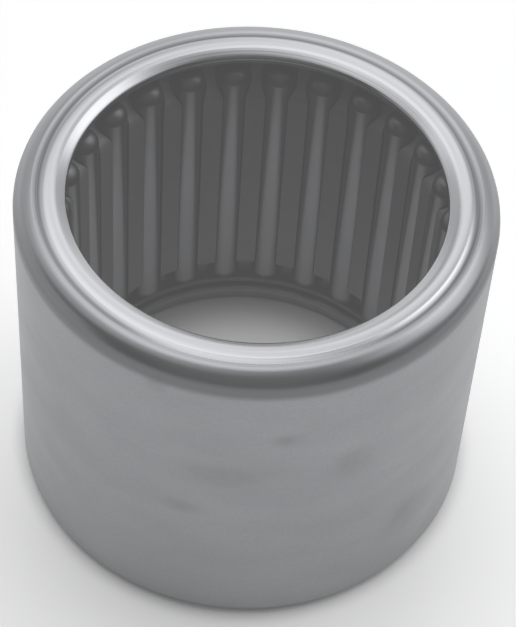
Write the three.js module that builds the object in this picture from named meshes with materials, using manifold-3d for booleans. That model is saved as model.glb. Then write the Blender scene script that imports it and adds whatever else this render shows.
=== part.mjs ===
// A full-width drawn-cup needle roller bearing, open at both ends.
// A thin drawn steel cup is the outer race. Inside it a sheet-steel window cage, M-shaped in
// section, spaces the needle rollers, which roll straight on the shaft and on the cup's bore.
// Millimetres, +Z along the bearing's axis, origin at the centre of the lower end face.

import * as THREE from 'three';
import { mergeVertices } from 'three/addons/utils/BufferGeometryUtils.js';
import Module from 'manifold-3d';

const wasm = await Module();
wasm.setup();

// ---- Driving dimensions ----

const OUTER_DIAMETER = 26.9875; // 1 1/16 in, the housing bore
const WIDTH = 22.225; // 7/8 in, end face to end face
const SHAFT_DIAMETER = 20.6375; // 13/16 in, the circle inside the needles
const NEEDLE_DIAMETER = 2.0;
const NEEDLE_LENGTH = 18.6;
const NEEDLE_END_ROUNDING = 0.85; // how far the domed end reaches along the needle
const NEEDLE_COUNT = 26;

const RUNNING_GAP = 0.03; // needle to raceway, on the radius
const POCKET_GAP = 0.08; // needle to cage pocket, all round
const POCKET_END_GAP = 0.1; // needle end to pocket end

const LIP_BORE_RADIUS = 10.57; // both lips, just clear of the shaft
const DRAWN_CORNER_RADIUS = 0.7; // outside corner at the drawn, lower end
const DRAWN_LIP_THICKNESS = 1.0;
const TURNED_LIP_THICKNESS = 0.65; // the upper lip is thinned before it is turned in
const TURNED_CORNER_RADIUS = 1.0; // between the wall and the shoulder's slope at the upper end
const SLOPE_FOOT_DROP = 0.47; // where the slope would meet the wall, measured down from the crest
const SLOPE_TOP_RADIUS = 12.6;
const SLOPE_TOP_DROP = 0.06;
const LEDGE_RADIUS = 12.45; // inner edge of the narrow ledge at the top of the slope
const LEDGE_DROP = 0.03;
const GROOVE_RADIUS = 12.15; // the rolled groove between the ledge and the lip
const GROOVE_DROP = 0.15;
const CREST_RADIUS = 11.55; // the lip's crest, the highest ring of the bearing
const CREST_HALF_WIDTH = 0.12;
const CREST_OUTER_RADIUS = 11.82; // where the crest falls away to the groove
const CREST_INNER_RADIUS = 11.2; // where it falls away to the bore
const CREST_EDGE_DROP = 0.03;
const BORE_EDGE_DROP = 0.33;
const BORE_EDGE_CHAMFER = 0.1; // on the lip's underside
const INNER_FILLET = 0.35; // inside corners between raceway and lips

const CAGE_SHEET = 0.45; // thickness of the cage's sheet steel
const CAGE_GAP = 0.15; // cage end to lip
const CAGE_WAIST_RADIUS = 10.47; // inside of the cage's narrow middle
const CAGE_SHOULDER_RADIUS = 12.1; // outside of the cage's wide ends
const CAGE_FLANGE_BORE = 10.95; // inner edge of the cage's end flanges
const CAGE_SLOPE_START = 1.4; // end face of the cage to the start of the slope
const CAGE_SLOPE_END = 2.3; // end face of the cage to the end of the slope
const CAGE_SLOPE_SHIFT = 0.2; // the inside slopes this much later, which keeps the sheet's thickness

const CUP_SIDES = 80;
const CAGE_SIDES = 78;
const NEEDLE_SIDES = 16;
const POCKET_SIDES = 20;
const ARC_STEPS = 4;
const FILLET_STEPS = 2;
const DOME_SHARES = [0, 0.45, 0.8, 1]; // rings of a needle's domed end, as shares of its radius

// ---- Worked out from them ----

const outerRadius = OUTER_DIAMETER / 2;
const needleRadius = NEEDLE_DIAMETER / 2;
const racewayRadius = SHAFT_DIAMETER / 2 + NEEDLE_DIAMETER;
const pitchRadius = racewayRadius - needleRadius - RUNNING_GAP;
const lowerLipTop = DRAWN_LIP_THICKNESS;
const upperLipUnderside = WIDTH - TURNED_LIP_THICKNESS;
const cageBottom = lowerLipTop + CAGE_GAP;
const cageTop = upperLipUnderside - CAGE_GAP;
const needleBottom = (cageBottom + cageTop - NEEDLE_LENGTH) / 2;

// ---- Shared shape helpers ----

// Points along an arc in the radius-height plane, angles in degrees from the radius direction.
function arc(centreRadius, centreHeight, radius, fromDegrees, toDegrees, steps = ARC_STEPS) {
  const points = [];
  for (let i = 0; i <= steps; i++) {
    const angle = THREE.MathUtils.degToRad(fromDegrees + ((toDegrees - fromDegrees) * i) / steps);
    const r = centreRadius + radius * Math.cos(angle);
    points.push(new THREE.Vector2(r, centreHeight + radius * Math.sin(angle)));
  }
  return points;
}

function at(radius, height) {
  return new THREE.Vector2(radius, height);
}

// Turns a profile about the Z axis.
function turned(points, sides) {
  const geometry = new THREE.LatheGeometry(points, sides);
  geometry.rotateX(Math.PI / 2);
  return geometry;
}

function toSolid(geometry) {
  const bare = geometry.clone();
  bare.deleteAttribute('normal');
  bare.deleteAttribute('uv');
  const merged = mergeVertices(bare);
  const mesh = new wasm.Mesh({
    numProp: 3,
    vertProperties: new Float32Array(merged.attributes.position.array),
    triVerts: new Uint32Array(merged.index.array),
  });
  return new wasm.Manifold(mesh);
}

function toGeometry(solid) {
  const mesh = solid.getMesh();
  const geometry = new THREE.BufferGeometry();
  geometry.setAttribute('position', new THREE.BufferAttribute(mesh.vertProperties, 3));
  geometry.setIndex(new THREE.BufferAttribute(mesh.triVerts, 1));
  geometry.computeVertexNormals();
  return geometry;
}

// ---- Outer cup: drawn from sheet, with a drawn lip below and a thin turned-in lip above ----

function cupProfile() {
  const nose = DRAWN_LIP_THICKNESS / 2;
  const fillet = racewayRadius - INNER_FILLET;
  const drawnCorner = outerRadius - DRAWN_CORNER_RADIUS;
  const turnedCorner = outerRadius - TURNED_CORNER_RADIUS;
  const slope = Math.atan2(SLOPE_FOOT_DROP - SLOPE_TOP_DROP, outerRadius - SLOPE_TOP_RADIUS);
  const cornerTurn = Math.PI / 2 - slope;
  const cornerReach = TURNED_CORNER_RADIUS * Math.tan(cornerTurn / 2);
  const cornerHeight = WIDTH - SLOPE_FOOT_DROP - cornerReach;
  const cornerEnd = THREE.MathUtils.radToDeg(cornerTurn);
  const profile = [
    ...arc(drawnCorner, DRAWN_CORNER_RADIUS, DRAWN_CORNER_RADIUS, -90, 0),
    ...arc(turnedCorner, cornerHeight, TURNED_CORNER_RADIUS, 0, cornerEnd),
    at(SLOPE_TOP_RADIUS, WIDTH - SLOPE_TOP_DROP),
    at(LEDGE_RADIUS, WIDTH - LEDGE_DROP),
    at(GROOVE_RADIUS, WIDTH - GROOVE_DROP),
    at(CREST_OUTER_RADIUS, WIDTH - CREST_EDGE_DROP),
    at(CREST_RADIUS + CREST_HALF_WIDTH, WIDTH),
    at(CREST_RADIUS - CREST_HALF_WIDTH, WIDTH),
    at(CREST_INNER_RADIUS, WIDTH - CREST_EDGE_DROP),
    at(LIP_BORE_RADIUS, WIDTH - BORE_EDGE_DROP),
    at(LIP_BORE_RADIUS, upperLipUnderside + BORE_EDGE_CHAMFER),
    at(LIP_BORE_RADIUS + BORE_EDGE_CHAMFER, upperLipUnderside),
    ...arc(fillet, upperLipUnderside - INNER_FILLET, INNER_FILLET, 90, 0, FILLET_STEPS),
    ...arc(fillet, lowerLipTop + INNER_FILLET, INNER_FILLET, 0, -90, FILLET_STEPS),
    ...arc(LIP_BORE_RADIUS + nose, nose, nose, 90, 270),
  ];
  profile.push(profile[0].clone());
  return profile;
}

// ---- Cage: one M-shaped sheet ring with a pocket cut through it for each needle ----

function cageProfile() {
  const waistOuter = CAGE_WAIST_RADIUS + CAGE_SHEET;
  const shoulderInner = CAGE_SHOULDER_RADIUS - CAGE_SHEET;
  const lowerHalfOutside = [
    at(CAGE_FLANGE_BORE, cageBottom),
    at(CAGE_SHOULDER_RADIUS, cageBottom),
    at(CAGE_SHOULDER_RADIUS, cageBottom + CAGE_SLOPE_START),
    at(waistOuter, cageBottom + CAGE_SLOPE_END),
  ];
  const lowerHalfInside = [
    at(CAGE_WAIST_RADIUS, cageBottom + CAGE_SLOPE_END + CAGE_SLOPE_SHIFT),
    at(shoulderInner, cageBottom + CAGE_SLOPE_START + CAGE_SLOPE_SHIFT),
    at(shoulderInner, cageBottom + CAGE_SHEET),
    at(CAGE_FLANGE_BORE, cageBottom + CAGE_SHEET),
  ];
  const toUpperHalf = (p) => at(p.x, cageBottom + cageTop - p.y);
  return [
    ...lowerHalfOutside,
    ...lowerHalfOutside.toReversed().map(toUpperHalf),
    ...lowerHalfInside.toReversed().map(toUpperHalf),
    ...lowerHalfInside,
    lowerHalfOutside[0].clone(),
  ];
}

function pocketCutter(index) {
  const length = NEEDLE_LENGTH + 2 * POCKET_END_GAP;
  const radius = needleRadius + POCKET_GAP;
  const cutter = new THREE.CylinderGeometry(radius, radius, length, POCKET_SIDES);
  cutter.rotateX(Math.PI / 2);
  cutter.rotateZ(needleAngle(index));
  const place = needlePlace(index);
  cutter.translate(place.x, place.y, needleBottom + NEEDLE_LENGTH / 2);
  return toSolid(cutter);
}

function cageGeometry() {
  let cage = toSolid(turned(cageProfile(), CAGE_SIDES));
  for (let i = 0; i < NEEDLE_COUNT; i++) {
    cage = cage.subtract(pocketCutter(i));
  }
  return toGeometry(cage);
}

// ---- Needle rollers: hardened pins with domed ends, evenly spaced, the first on +X ----

function needleAngle(index) {
  return (index * 2 * Math.PI) / NEEDLE_COUNT;
}

function needlePlace(index) {
  const angle = needleAngle(index);
  return new THREE.Vector3(pitchRadius * Math.cos(angle), pitchRadius * Math.sin(angle), needleBottom);
}

function needleGeometry() {
  const dome = DOME_SHARES.map((share) => {
    const depth = NEEDLE_END_ROUNDING * (1 - Math.sqrt(1 - share * share));
    return at(needleRadius * share, depth);
  });
  const top = dome.toReversed().map((p) => at(p.x, NEEDLE_LENGTH - p.y));
  return turned([...dome, ...top], NEEDLE_SIDES);
}

// ---- Finishes ----

const cupSteel = new THREE.MeshStandardMaterial({ color: '#8b8d90', roughness: 0.42, metalness: 1 });
const cageSteel = new THREE.MeshStandardMaterial({ color: '#6e6e70', roughness: 0.56, metalness: 0.3 });
const needleSteel = new THREE.MeshStandardMaterial({ color: '#8b8c8f', roughness: 0.24, metalness: 1 });

// ---- Assembly ----

const bearing = new THREE.Group();

const outerCup = new THREE.Mesh(turned(cupProfile(), CUP_SIDES), cupSteel);
outerCup.name = 'outer_cup';
bearing.add(outerCup);

const cage = new THREE.Mesh(cageGeometry(), cageSteel);
cage.name = 'roller_cage';
bearing.add(cage);

const needleShape = needleGeometry();
for (let i = 0; i < NEEDLE_COUNT; i++) {
  const needle = new THREE.Mesh(needleShape, needleSteel);
  needle.name = `needle_roller_${String(i + 1).padStart(2, '0')}`;
  needle.position.copy(needlePlace(i));
  needle.rotation.z = needleAngle(i);
  bearing.add(needle);
}

export default bearing;
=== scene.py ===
"""The looks of a drawn-cup needle roller bearing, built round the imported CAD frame. Metres, +Z up."""
import math

import bmesh
import bpy
from mathutils import Matrix


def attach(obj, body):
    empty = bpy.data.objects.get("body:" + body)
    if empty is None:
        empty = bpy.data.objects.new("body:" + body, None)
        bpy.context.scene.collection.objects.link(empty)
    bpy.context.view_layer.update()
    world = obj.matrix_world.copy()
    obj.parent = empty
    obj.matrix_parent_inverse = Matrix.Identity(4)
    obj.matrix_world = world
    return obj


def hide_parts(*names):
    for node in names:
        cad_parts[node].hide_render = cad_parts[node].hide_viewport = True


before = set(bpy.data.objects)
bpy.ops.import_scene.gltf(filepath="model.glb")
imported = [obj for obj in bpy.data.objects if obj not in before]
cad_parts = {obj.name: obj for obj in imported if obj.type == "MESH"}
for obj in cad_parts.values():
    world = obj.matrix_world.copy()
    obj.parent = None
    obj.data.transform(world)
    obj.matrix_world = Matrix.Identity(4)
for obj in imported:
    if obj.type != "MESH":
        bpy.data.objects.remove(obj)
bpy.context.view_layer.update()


# ---------------------------------------------------------------- camera
# A long lens looks down into the bearing from in front, about 51 degrees above the table. It
# leans a little to one side, as a camera held in the hand does.

MM = 0.001

camera_data = bpy.data.cameras.new("camera")
camera_data.sensor_width = 36
camera_data.lens = 133.73
camera_data.clip_start = 0.01
camera_data.clip_end = 10
camera = bpy.data.objects.new("camera", camera_data)
camera.location = (-4.226 * MM, -86.397 * MM, 117.021 * MM)
camera.rotation_euler = [math.radians(angle) for angle in (39.237, -2.596, 0.058)]
bpy.context.scene.collection.objects.link(camera)
bpy.context.scene.camera = camera


# ---------------------------------------------------------------- table and light
# The bearing stands on a sheet of opal acrylic that is lit from below, inside a small tent of
# white cloth. The cloth is lit in panels, above and behind and to the sides, and is dim in front.

def linear(hex_colour):
    """An sRGB hex colour as linear RGBA."""
    channels = [int(hex_colour[i:i + 2], 16) / 255 for i in (1, 3, 5)]
    bent = [c / 12.92 if c <= 0.04045 else ((c + 0.055) / 1.055) ** 2.4 for c in channels]
    return (*bent, 1.0)


def add_node(tree, kind, inputs=(), **settings):
    """Adds a node with its settings. An input is a constant, or a socket to link from."""
    node = tree.nodes.new(kind)
    for name, value in settings.items():
        setattr(node, name, value)
    for name, value in dict(inputs).items():
        if isinstance(value, bpy.types.NodeSocket):
            tree.links.new(value, node.inputs[name])
        else:
            node.inputs[name].default_value = value
    return node


# The light of the bare cloth, and the least that any gap in it leaves.
CLOTH_LIGHT = 1.5
LEAST_LIGHT = 0.02
# Each panel of the tent: its direction, how many degrees from there it starts and ends to fade,
# and the light that it adds to the cloth. Gaps, side walls and the camera's side take light away.
TENT_PANELS = {
    "overhead": ((-0.14, 0.28, 0.95), 12, 34, 1.0),
    "overhead_right_gap": ((0.19, 0.49, 0.85), 6, 17, -0.8),
    "back_right": ((0.20, 0.83, 0.52), 8, 22, 0.6),
    "back_left_gap": ((-0.18, 0.80, 0.57), 6, 18, -0.75),
    "back_strip_left": ((-0.17, 0.66, 0.73), 3, 11, 0.5),
    "back_strip_right": ((0.17, 0.66, 0.73), 3, 11, 0.5),
    "right_gap": ((0.60, 0.68, 0.43), 8, 24, -0.75),
    "left_gap": ((-0.60, 0.68, 0.43), 8, 24, -0.6),
    "left_window": ((-0.60, 0.40, 0.69), 3, 10, 0.8),
    "left_high_gap": ((-0.66, 0.10, 0.74), 12, 28, -0.9),
    "right_high_gap": ((0.36, -0.02, 0.93), 6, 16, -0.9),
    "right_window": ((0.55, 0.23, 0.80), 4, 13, 2.0),
    "right_back_window": ((0.61, 0.45, 0.66), 3, 10, 2.2),
    "right_side_window": ((0.86, 0.12, 0.49), 6, 16, 1.5),
    "right_wall": ((0.95, -0.20, 0.05), 20, 52, -1.2),
    "left_wall": ((-0.95, -0.10, 0.10), 16, 52, -0.8),
    "camera_side": ((-0.10, -0.85, 0.50), 51, 61, -1.32),
}

world = bpy.data.worlds.new("light_tent")
world.use_nodes = True
bpy.context.scene.world = world
tent = world.node_tree
tent.nodes.clear()
direction = add_node(tent, "ShaderNodeTexCoord").outputs["Generated"]
brightness = CLOTH_LIGHT
for towards, full_angle, edge_angle, added in TENT_PANELS.values():
    length = math.dist((0, 0, 0), towards)
    facing = add_node(tent, "ShaderNodeVectorMath", {0: direction, 1: [c / length for c in towards]},
                      operation="DOT_PRODUCT").outputs["Value"]
    panel = add_node(tent, "ShaderNodeMapRange",
                     {"Value": facing, "From Min": math.cos(math.radians(edge_angle)),
                      "From Max": math.cos(math.radians(full_angle)), "To Max": added},
                     interpolation_type="SMOOTHSTEP").outputs["Result"]
    brightness = add_node(tent, "ShaderNodeMath", {0: panel, 1: brightness}).outputs[0]
brightness = add_node(tent, "ShaderNodeMath", {0: brightness, 1: LEAST_LIGHT},
                      operation="MAXIMUM").outputs[0]
background = add_node(tent, "ShaderNodeBackground", {"Strength": brightness})
add_node(tent, "ShaderNodeOutputWorld", {"Surface": background.outputs[0]})

TABLE_HALF = 0.6

table_shape = bmesh.new()
bmesh.ops.create_grid(table_shape, x_segments=1, y_segments=1, size=TABLE_HALF)
table_mesh = bpy.data.meshes.new("table")
table_shape.to_mesh(table_mesh)
table_shape.free()
table = bpy.data.objects.new("table", table_mesh)
bpy.context.scene.collection.objects.link(table)

# Opal acrylic spreads the lamp below it to an even white. Its glow carries painted shadow: weaker
# in the bore, fading out towards the lip, dark under the foot and full again 1 mm outside it.
BORE_GLOW_PAINTED_SHADE = 0.21
OPEN_GLOW = 0.25

table_sheet = bpy.data.materials.new("backlit_opal_acrylic_with_painted_shadow")
table_sheet.use_nodes = True
tree = table_sheet.node_tree
sheet = tree.nodes["Principled BSDF"]
sheet.inputs["Base Color"].default_value = linear("#f8f8f8")
sheet.inputs["Roughness"].default_value = 0.6
sheet.inputs["Emission Color"].default_value = linear("#ffffff")
outwards = add_node(tree, "ShaderNodeTexCoord").outputs["Object"]
outwards = add_node(tree, "ShaderNodeVectorMath", {0: outwards}, operation="LENGTH").outputs["Value"]
# Painted shadow in the bore: the glow fades out towards the lip.
bore_glow_painted_shadow = add_node(tree, "ShaderNodeMapRange",
                       {"Value": outwards, "From Min": 6.5 * MM, "From Max": 10.8 * MM,
                        "To Min": BORE_GLOW_PAINTED_SHADE, "To Max": 0.0},
                       interpolation_type="SMOOTHSTEP").outputs["Result"]
# Painted shade round the foot: the glow comes up again only outside it.
open_glow_painted_shade_at_foot = add_node(tree, "ShaderNodeMapRange",
                     {"Value": outwards, "From Min": 13.0 * MM, "From Max": 14.5 * MM,
                      "To Max": OPEN_GLOW},
                     interpolation_type="SMOOTHSTEP").outputs["Result"]
glow = add_node(tree, "ShaderNodeMath", {0: bore_glow_painted_shadow, 1: open_glow_painted_shade_at_foot}).outputs[0]
tree.links.new(glow, sheet.inputs["Emission Strength"])
table_mesh.materials.append(table_sheet)

# Plain view colours, with the blacks lifted a little so that the shaded inside stays readable.
LIFTED_BLACK = 0.08
view = bpy.context.scene.view_settings
view.view_transform = "Standard"
view.use_curve_mapping = True
view.curve_mapping.black_level = (-LIFTED_BLACK,) * 3
view.curve_mapping.update()


# ---------------------------------------------------------------- outer cup
# The outer race: one shell deep drawn from case-hardening sheet steel, pierced at the bottom,
# tumbled to a satin grey. Its thinned upper lip is turned in after the cage is loaded, and the
# turning tool burnishes that lip bright.

OUTER_RADIUS = 13.49375 * MM
WIDTH = 22.225 * MM
RACEWAY_RADIUS = 12.31875 * MM
LIP_BORE = 10.57 * MM
LOWER_LIP = 1.0 * MM
UPPER_LIP = 0.65 * MM
CREST_RADIUS = 11.55 * MM
CREST_INNER = 11.2 * MM
CREST_OUTER = 11.82 * MM
GROOVE_RADIUS = 12.15 * MM
LEDGE_RADIUS = 12.45 * MM
SHOULDER_RADIUS = 12.6 * MM
TURN_STEPS = 300
# Points nearer than this are one point.
TOUCHING = 1e-7


def turned(outline, steps, mesh_name, rounding_steps=6):
    """A closed mesh turned about Z from an outline of (radius, height, rounding)."""
    shape = bmesh.new()
    corners = [shape.verts.new((radius, 0, height)) for radius, height, _ in outline]
    shape.faces.new(corners)
    for corner, (_, _, rounding) in zip(corners, outline):
        if rounding:
            bmesh.ops.bevel(shape, geom=[corner], offset=rounding, offset_type="OFFSET",
                            segments=rounding_steps, profile=0.5, affect="VERTICES", material=-1,
                            clamp_overlap=True)
    on_axis = [edge for edge in shape.edges if all(end.co.x < TOUCHING for end in edge.verts)]
    bmesh.ops.delete(shape, geom=list(shape.faces), context="FACES_ONLY")
    bmesh.ops.delete(shape, geom=on_axis, context="EDGES")
    bmesh.ops.spin(shape, geom=list(shape.verts) + list(shape.edges), cent=(0, 0, 0), axis=(0, 0, 1),
                   angle=2 * math.pi, steps=steps, use_merge=True)
    bmesh.ops.remove_doubles(shape, verts=shape.verts, dist=TOUCHING)
    bmesh.ops.recalc_face_normals(shape, faces=shape.faces)
    mesh = bpy.data.meshes.new(mesh_name)
    shape.to_mesh(mesh)
    shape.free()
    return mesh


def finished_piece(mesh, piece_name, material, body, slot, *nodes):
    """Puts a mesh in the scene with its material, on its CAD body, in place of its CAD nodes."""
    mesh.materials.append(material)
    mesh.shade_smooth()
    piece = bpy.data.objects.new(piece_name, mesh)
    bpy.context.scene.collection.objects.link(piece)
    even = piece.modifiers.new("even_shading", "WEIGHTED_NORMAL")
    even.keep_sharp = True
    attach(piece, body)
    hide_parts(*nodes)


# Up the outside, over the lip's sloping shoulder, its groove and its crest, and down the raceway.
cup_outline = [
    (LIP_BORE, 0.0, 0.25 * MM),
    (OUTER_RADIUS, 0.0, 0.7 * MM),
    (OUTER_RADIUS, WIDTH - 0.47 * MM, 0.65 * MM),
    (SHOULDER_RADIUS, WIDTH - 0.06 * MM, 0.12 * MM),
    (LEDGE_RADIUS, WIDTH - 0.03 * MM, 0.05 * MM),
    (GROOVE_RADIUS, WIDTH - 0.15 * MM, 0.03 * MM),
    (CREST_OUTER, WIDTH - 0.03 * MM, 0.08 * MM),
    (CREST_RADIUS, WIDTH, 0.15 * MM),
    (CREST_INNER, WIDTH - 0.03 * MM, 0.14 * MM),
    (LIP_BORE, WIDTH - 0.33 * MM, 0.12 * MM),
    (LIP_BORE, WIDTH - UPPER_LIP, 0.1 * MM),
    (RACEWAY_RADIUS, WIDTH - UPPER_LIP, 0.35 * MM),
    (RACEWAY_RADIUS, LOWER_LIP, 0.35 * MM),
    (LIP_BORE, LOWER_LIP, 0.25 * MM),
]

# Tumbling leaves the steel a soft, cloudy grey with a fine speckle, and turning the lip in
# leaves it brighter, with rings. The grain, the speckle and the rings are too fine to show at
# their real sizes, so they are drawn coarser.
CLOUD = 6 * MM
SPECKLE = 0.14 * MM
GRAIN = 0.3 * MM
RING = 0.12 * MM
LIP_FOOT = WIDTH - 0.6 * MM
PAINTED_SHADE_HEIGHT = WIDTH - 1.0 * MM

# Faint handling smudges on the front of the wall, patchy as a finger leaves them. Each one's
# place is in degrees round the wall and mm up it, with half its length and half its height in mm.
SMUDGE_PATCH = 1.4 * MM
SMUDGES = (
    (-97, 13.8, 3.8, 1.4),
    (-66, 13.7, 1.7, 1.7),
    (-82, 17.1, 1.2, 0.7),
    (-106, 10.2, 1.8, 0.8),
    (-113, 20.6, 0.9, 0.9),
    (-46, 5.5, 2.6, 2.2),
)

cup_steel = bpy.data.materials.new("tumbled_case_hardened_steel")
cup_steel.use_nodes = True
tree = cup_steel.node_tree
skin = tree.nodes["Principled BSDF"]
skin.inputs["Metallic"].default_value = 1.0
position = add_node(tree, "ShaderNodeTexCoord").outputs["Object"]
flat = add_node(tree, "ShaderNodeVectorMath", {0: position, 1: (1, 1, 0)},
                operation="MULTIPLY").outputs[0]
radius = add_node(tree, "ShaderNodeVectorMath", {0: flat}, operation="LENGTH").outputs["Value"]
height = add_node(tree, "ShaderNodeSeparateXYZ", {0: position}).outputs["Z"]
lip_inside = add_node(tree, "ShaderNodeMapRange",
                      {"Value": radius, "From Min": LEDGE_RADIUS,
                       "From Max": GROOVE_RADIUS}).outputs["Result"]
lip_height = add_node(tree, "ShaderNodeMapRange",
                      {"Value": height, "From Min": LIP_FOOT,
                       "From Max": WIDTH - 0.45 * MM}).outputs["Result"]
burnished = add_node(tree, "ShaderNodeMath", {0: lip_inside, 1: lip_height},
                     operation="MULTIPLY").outputs[0]

cloud_place = add_node(tree, "ShaderNodeVectorMath", {0: position, 1: (1, 1, 2.5)},
                       operation="MULTIPLY").outputs[0]
clouds = add_node(tree, "ShaderNodeTexNoise",
                  {"Vector": cloud_place, "Scale": 1 / CLOUD, "Detail": 4.0,
                   "Roughness": 0.55}).outputs["Fac"]
satin = add_node(tree, "ShaderNodeMix", {0: clouds, 6: linear("#898b8e"), 7: linear("#9b9da0")},
                 data_type="RGBA").outputs[2]
smudged = 0.0
for around, up, half_length, half_height in SMUDGES:
    around = math.radians(around)
    centre = (OUTER_RADIUS * math.cos(around), OUTER_RADIUS * math.sin(around), up * MM)
    half_sizes = (half_length * MM, half_length * MM, half_height * MM)
    away = add_node(tree, "ShaderNodeVectorMath", {0: position, 1: centre},
                    operation="SUBTRACT").outputs[0]
    away = add_node(tree, "ShaderNodeVectorMath", {0: away, 1: half_sizes},
                    operation="DIVIDE").outputs[0]
    away = add_node(tree, "ShaderNodeVectorMath", {0: away}, operation="LENGTH").outputs["Value"]
    spot = add_node(tree, "ShaderNodeMapRange",
                    {"Value": away, "From Min": 0.0, "From Max": 1.15, "To Min": 1.0, "To Max": 0.0},
                    interpolation_type="SMOOTHSTEP").outputs["Result"]
    smudged = add_node(tree, "ShaderNodeMath", {0: spot, 1: smudged}, operation="MAXIMUM").outputs[0]
patchy = add_node(tree, "ShaderNodeTexNoise",
                  {"Vector": position, "Scale": 1 / SMUDGE_PATCH, "Detail": 3.0}).outputs["Fac"]
smudged = add_node(tree, "ShaderNodeMath", {0: smudged, 1: patchy}, operation="MULTIPLY").outputs[0]
satin = add_node(tree, "ShaderNodeMix", {0: smudged, 6: satin, 7: linear("#747577")},
                 data_type="RGBA").outputs[2]
speckle = add_node(tree, "ShaderNodeTexNoise",
                   {"Vector": position, "Scale": 1 / SPECKLE, "Detail": 2.0}).outputs["Fac"]
speckle = add_node(tree, "ShaderNodeMapRange",
                   {"Value": speckle, "From Min": 0.45, "From Max": 0.75,
                    "To Max": 0.3}).outputs["Result"]
satin = add_node(tree, "ShaderNodeMix", {0: speckle, 6: satin, 7: linear("#77787b")},
                 data_type="RGBA").outputs[2]

# The rolled shoulder is a little smoother than the wall, with a band of painted shade below it.
rolled = add_node(tree, "ShaderNodeMapRange",
                  {"Value": height, "From Min": WIDTH - 1.3 * MM,
                   "From Max": LIP_FOOT}).outputs["Result"]
shoulder = add_node(tree, "ShaderNodeMix", {0: rolled, 6: satin, 7: linear("#909295")},
                    data_type="RGBA").outputs[2]
# Painted shade: a dark band round the cup, darkest 1 mm below its top.
from_painted_shade = add_node(tree, "ShaderNodeMath", {0: height, 1: PAINTED_SHADE_HEIGHT},
                     operation="SUBTRACT").outputs[0]
from_painted_shade = add_node(tree, "ShaderNodeMath", {0: from_painted_shade}, operation="ABSOLUTE").outputs[0]
painted_shade_band = add_node(tree, "ShaderNodeMapRange",
                     {"Value": from_painted_shade, "From Min": 0.15 * MM, "From Max": 0.8 * MM,
                      "To Min": 0.7, "To Max": 0.0},
                     interpolation_type="SMOOTHSTEP").outputs["Result"]
shoulder = add_node(tree, "ShaderNodeMix", {0: painted_shade_band, 6: shoulder, 7: linear("#404144")},
                    data_type="RGBA").outputs[2]
colour = add_node(tree, "ShaderNodeMix", {0: burnished, 6: shoulder, 7: linear("#a9aaad")},
                  data_type="RGBA").outputs[2]

# Painted shade darkens the groove outside the crest, less so at the front.
off_groove = add_node(tree, "ShaderNodeMath", {0: radius, 1: GROOVE_RADIUS},
                      operation="SUBTRACT").outputs[0]
off_groove = add_node(tree, "ShaderNodeMath", {0: off_groove}, operation="ABSOLUTE").outputs[0]
groove_painted_shade = add_node(tree, "ShaderNodeMapRange",
                 {"Value": off_groove, "From Min": 0.05 * MM, "From Max": 0.22 * MM,
                  "To Min": 0.8, "To Max": 0.0}).outputs["Result"]
groove_painted_shade = add_node(tree, "ShaderNodeMath", {0: groove_painted_shade, 1: lip_height}, operation="MULTIPLY").outputs[0]
across = add_node(tree, "ShaderNodeSeparateXYZ", {0: position}).outputs["Y"]
# The painted shade is weaker at the front of the groove.
less_painted_shade_at_front = add_node(tree, "ShaderNodeMapRange",
                       {"Value": across, "From Min": -11.9 * MM, "From Max": -9.5 * MM,
                        "To Min": 0.2},
                       interpolation_type="SMOOTHSTEP").outputs["Result"]
groove_painted_shade = add_node(tree, "ShaderNodeMath", {0: groove_painted_shade, 1: less_painted_shade_at_front}, operation="MULTIPLY").outputs[0]
colour = add_node(tree, "ShaderNodeMix", {0: groove_painted_shade, 6: colour, 7: linear("#505154")},
                  data_type="RGBA").outputs[2]
tree.links.new(colour, skin.inputs["Base Color"])

wall_roughness = add_node(tree, "ShaderNodeMapRange",
                          {"Value": clouds, "To Min": 0.5, "To Max": 0.42}).outputs["Result"]
shoulder_roughness = add_node(tree, "ShaderNodeMix", {0: rolled, 2: wall_roughness, 3: 0.3}).outputs[0]
roughness = add_node(tree, "ShaderNodeMix", {0: burnished, 2: shoulder_roughness, 3: 0.24}).outputs[0]
tree.links.new(roughness, skin.inputs["Roughness"])
grain = add_node(tree, "ShaderNodeTexNoise",
                 {"Vector": position, "Scale": 1 / GRAIN, "Detail": 2.0}).outputs["Fac"]
rings = add_node(tree, "ShaderNodeTexNoise", {"W": radius, "Scale": 1 / RING, "Detail": 1.0},
                 noise_dimensions="1D").outputs["Fac"]
relief = add_node(tree, "ShaderNodeMix", {0: burnished, 2: grain, 3: rings}).outputs[0]
bump = add_node(tree, "ShaderNodeBump",
                {"Height": relief, "Strength": 0.12, "Distance": 0.02 * MM}).outputs[0]
tree.links.new(bump, skin.inputs["Normal"])

cup_mesh = turned(cup_outline, TURN_STEPS, "cup_shell")
finished_piece(cup_mesh, "cup_shell", cup_steel, "cup", "cup_steel", "outer_cup")


# ---------------------------------------------------------------- roller cage
# One ring pressed from thin mild-steel sheet, M-shaped in section: its wide ends ride near the
# raceway, its waist keeps the needles from falling in. The pockets are pierced, and the sheet
# is phosphated.

PITCH_RADIUS = 11.28875 * MM
NEEDLE_RADIUS = 1.0 * MM
NEEDLE_LENGTH = 18.6 * MM
NEEDLE_COUNT = 26
POCKET_GAP = 0.08 * MM
POCKET_END_GAP = 0.1 * MM
CAGE_LOW = 1.15 * MM
CAGE_HIGH = 21.425 * MM
CAGE_OUTER = 12.1 * MM
CAGE_WAIST = 10.47 * MM
FLANGE_BORE = 10.95 * MM
SHEET = 0.45 * MM
NEEDLE_LOW = (CAGE_LOW + CAGE_HIGH - NEEDLE_LENGTH) / 2
NEEDLE_HIGH = NEEDLE_LOW + NEEDLE_LENGTH
PUNCH_SIDES = 40


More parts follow.
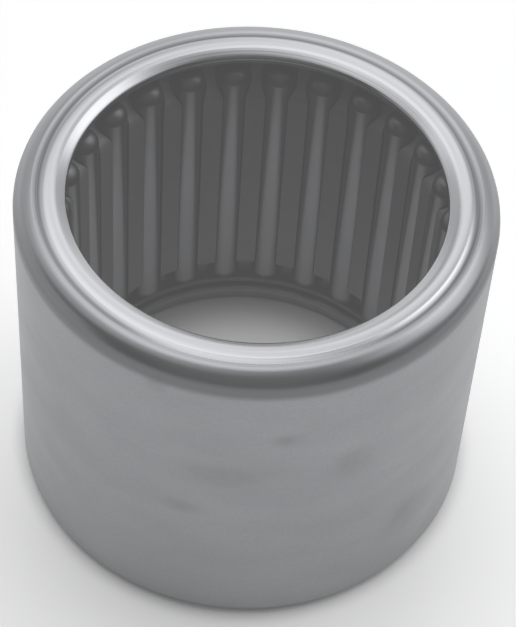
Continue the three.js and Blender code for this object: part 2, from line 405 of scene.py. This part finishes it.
def needle_mesh(radius, low, high, rounding, index, sides, mesh_name):
    """A needle, or the punch for its pocket, turned on its own axis and set in the ring."""
    outline = [(0, low, 0), (radius, low, rounding), (radius, high, rounding), (0, high, 0)]
    mesh = turned(outline, sides, mesh_name, rounding_steps=8)
    angle = index * 2 * math.pi / NEEDLE_COUNT
    place = (PITCH_RADIUS * math.cos(angle), PITCH_RADIUS * math.sin(angle), 0)
    mesh.transform(Matrix.Translation(place))
    return mesh


# The lower half of the sheet, outside and inside. The upper half mirrors it.
cage_outside = [
    (FLANGE_BORE, CAGE_LOW, 0.12 * MM),
    (CAGE_OUTER, CAGE_LOW, 0.5 * MM),
    (CAGE_OUTER, CAGE_LOW + 1.4 * MM, 0.35 * MM),
    (CAGE_WAIST + SHEET, CAGE_LOW + 2.3 * MM, 0.15 * MM),
]
cage_inside = [
    (CAGE_WAIST, CAGE_LOW + 2.5 * MM, 0.35 * MM),
    (CAGE_OUTER - SHEET, CAGE_LOW + 1.6 * MM, 0.15 * MM),
    (CAGE_OUTER - SHEET, CAGE_LOW + SHEET, 0.12 * MM),
    (FLANGE_BORE, CAGE_LOW + SHEET, 0.12 * MM),
]
cage_top = [(radius, CAGE_LOW + CAGE_HIGH - height, rounding)
            for radius, height, rounding in reversed(cage_inside + cage_outside)]
cage_mesh = turned(cage_outside + cage_top + cage_inside, 8 * NEEDLE_COUNT, "cage_ring")
cage_blank = bpy.data.objects.new("cage_blank", cage_mesh)
bpy.context.scene.collection.objects.link(cage_blank)
punches = bmesh.new()
for index in range(NEEDLE_COUNT):
    punch = needle_mesh(NEEDLE_RADIUS + POCKET_GAP, NEEDLE_LOW - POCKET_END_GAP,
                        NEEDLE_HIGH + POCKET_END_GAP, 0, index, PUNCH_SIDES, "punch")
    punches.from_mesh(punch)
    bpy.data.meshes.remove(punch)
punch_mesh = bpy.data.meshes.new("pocket_punches")
punches.to_mesh(punch_mesh)
punches.free()
punch_set = bpy.data.objects.new("pocket_punches", punch_mesh)
bpy.context.scene.collection.objects.link(punch_set)
pierce = cage_blank.modifiers.new("pierced_pockets", "BOOLEAN")
pierce.operation = "DIFFERENCE"
pierce.solver = "EXACT"
pierce.object = punch_set
pierced = bpy.data.meshes.new_from_object(cage_blank.evaluated_get(bpy.context.evaluated_depsgraph_get()))
bpy.data.objects.remove(cage_blank)
bpy.data.objects.remove(punch_set)

# Phosphating leaves mild steel a dull, mottled mid grey, rough with small crystals that are
# drawn coarser than they are.
MOTTLE = 0.8 * MM
CRYSTAL = 0.15 * MM

cage_steel = bpy.data.materials.new("phosphated_mild_steel_sheet")
cage_steel.use_nodes = True
tree = cage_steel.node_tree
skin = tree.nodes["Principled BSDF"]
skin.inputs["Metallic"].default_value = 0.3
position = add_node(tree, "ShaderNodeTexCoord").outputs["Object"]
mottle = add_node(tree, "ShaderNodeTexNoise",
                  {"Vector": position, "Scale": 1 / MOTTLE, "Detail": 4.0}).outputs["Fac"]
colour = add_node(tree, "ShaderNodeMix", {0: mottle, 6: linear("#666668"), 7: linear("#767678")},
                  data_type="RGBA").outputs[2]
tree.links.new(colour, skin.inputs["Base Color"])
roughness = add_node(tree, "ShaderNodeMapRange",
                     {"Value": mottle, "To Min": 0.62, "To Max": 0.5}).outputs["Result"]
tree.links.new(roughness, skin.inputs["Roughness"])
crystals = add_node(tree, "ShaderNodeTexNoise",
                    {"Vector": position, "Scale": 1 / CRYSTAL, "Detail": 2.0}).outputs["Fac"]
bump = add_node(tree, "ShaderNodeBump",
                {"Height": crystals, "Strength": 0.2, "Distance": 0.01 * MM}).outputs[0]
tree.links.new(bump, skin.inputs["Normal"])

finished_piece(pierced, "window_cage", cage_steel, "cage", "cage_steel", "roller_cage")
pierced.set_sharp_from_angle(angle=math.radians(35))


# ---------------------------------------------------------------- needle rollers
# Through-hardened bearing-steel needles, centreless ground and lapped, with rounded ends and a
# thin film of preserving oil. Each lies loose in its pocket and rolls on the cup's bore.

NEEDLE_ROUNDING = 0.8 * MM
NEEDLE_SIDES = 48

# Ground and lapped steel is dark and glossy under its oil, with faint rings left by the wheel,
# drawn coarser than they are. The tumbled ends are rougher, and darkened with painted shade that
# dims the highlights on their domes.
GRINDING_RING = 0.15 * MM
OIL_PATCH = 2.5 * MM

needle_steel = bpy.data.materials.new("ground_bearing_steel")
needle_steel.use_nodes = True
tree = needle_steel.node_tree
skin = tree.nodes["Principled BSDF"]
skin.inputs["Metallic"].default_value = 1.0
position = add_node(tree, "ShaderNodeTexCoord").outputs["Object"]
height = add_node(tree, "ShaderNodeSeparateXYZ", {0: position}).outputs["Z"]
grinding = add_node(tree, "ShaderNodeTexNoise",
                    {"W": height, "Scale": 1 / GRINDING_RING, "Detail": 2.0},
                    noise_dimensions="1D").outputs["Fac"]
film = add_node(tree, "ShaderNodeTexNoise",
                {"Vector": position, "Scale": 1 / OIL_PATCH, "Detail": 3.0}).outputs["Fac"]
ground = add_node(tree, "ShaderNodeMix", {0: film, 6: linear("#6e6f72"), 7: linear("#7a7b7e")},
                  data_type="RGBA").outputs[2]
from_middle = add_node(tree, "ShaderNodeMath", {0: height, 1: NEEDLE_LOW + NEEDLE_LENGTH / 2},
                       operation="SUBTRACT").outputs[0]
from_middle = add_node(tree, "ShaderNodeMath", {0: from_middle}, operation="ABSOLUTE").outputs[0]
# The rounded ends: a rougher finish, and a darker colour that is painted shade.
end = add_node(tree, "ShaderNodeMapRange",
               {"Value": from_middle, "From Min": NEEDLE_LENGTH / 2 - 0.85 * MM,
                "From Max": NEEDLE_LENGTH / 2 - 0.7 * MM}).outputs["Result"]
colour = add_node(tree, "ShaderNodeMix", {0: end, 6: ground, 7: linear("#606164")},
                  data_type="RGBA").outputs[2]
tree.links.new(colour, skin.inputs["Base Color"])
ground_roughness = add_node(tree, "ShaderNodeMapRange",
                            {"Value": grinding, "To Min": 0.2, "To Max": 0.28}).outputs["Result"]
roughness = add_node(tree, "ShaderNodeMix", {0: end, 2: ground_roughness, 3: 0.42}).outputs[0]
tree.links.new(roughness, skin.inputs["Roughness"])

for index in range(NEEDLE_COUNT):
    name = f"needle_{index + 1:02d}"
    mesh = needle_mesh(NEEDLE_RADIUS, NEEDLE_LOW, NEEDLE_HIGH, NEEDLE_ROUNDING, index, NEEDLE_SIDES, name)
    finished_piece(mesh, name, needle_steel, name, "needle_steel", f"needle_roller_{index + 1:02d}")
